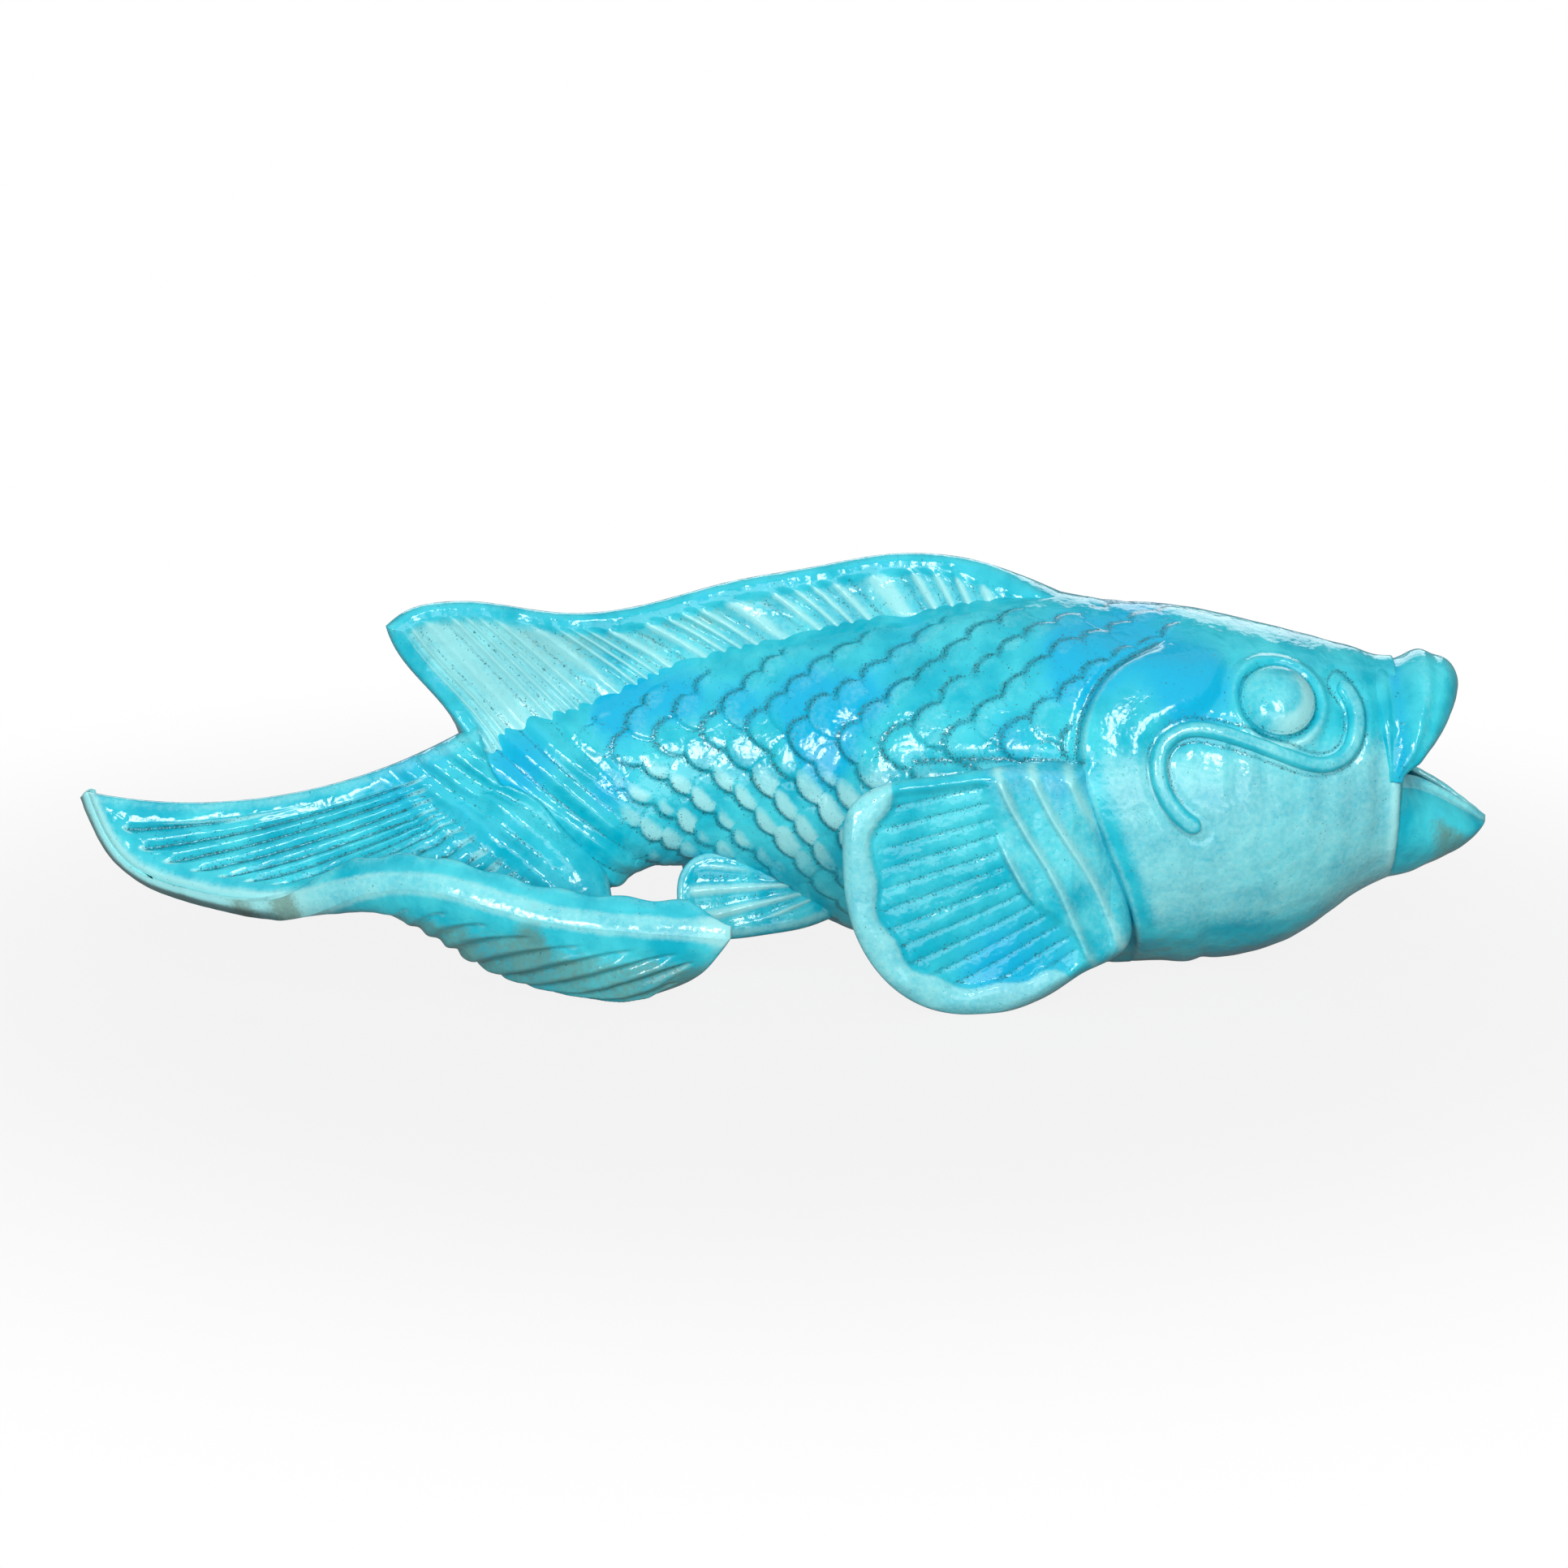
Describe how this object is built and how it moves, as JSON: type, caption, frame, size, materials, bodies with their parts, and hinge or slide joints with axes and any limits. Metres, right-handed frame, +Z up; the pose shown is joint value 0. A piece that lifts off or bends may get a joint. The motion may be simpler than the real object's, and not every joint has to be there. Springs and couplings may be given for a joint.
{
  "type": "fish figurine",
  "caption": "Glazed ceramic carp lying on its belly with a curved tail, carved scales, spread fins and an open mouth, as a desk or shelf ornament.",
  "frame": {"origin": "on the ground, under the middle of the whole fish", "axes": "+X from tail to mouth, +Y to the fish's left, +Z up"},
  "size_m": [0.3292, 0.1232, 0.0965],
  "materials": {
    "turquoise_glaze": "glossy turquoise glaze, bluer where it pools and paler on raised edges"
  },
  "bodies": {
    "root": {"body_right_half": "turquoise_glaze", "body_left_half": "turquoise_glaze", "upper_lip": "turquoise_glaze", "lower_jaw": "turquoise_glaze", "eye_right": "turquoise_glaze", "eye_left": "turquoise_glaze", "whisker_right": "turquoise_glaze", "whisker_left": "turquoise_glaze", "dorsal_fin": "turquoise_glaze", "tail_fin": "turquoise_glaze", "pectoral_fin_right": "turquoise_glaze", "pectoral_fin_left": "turquoise_glaze", "pelvic_fin_right": "turquoise_glaze", "pelvic_fin_left": "turquoise_glaze"}
  },
  "joints": []
}
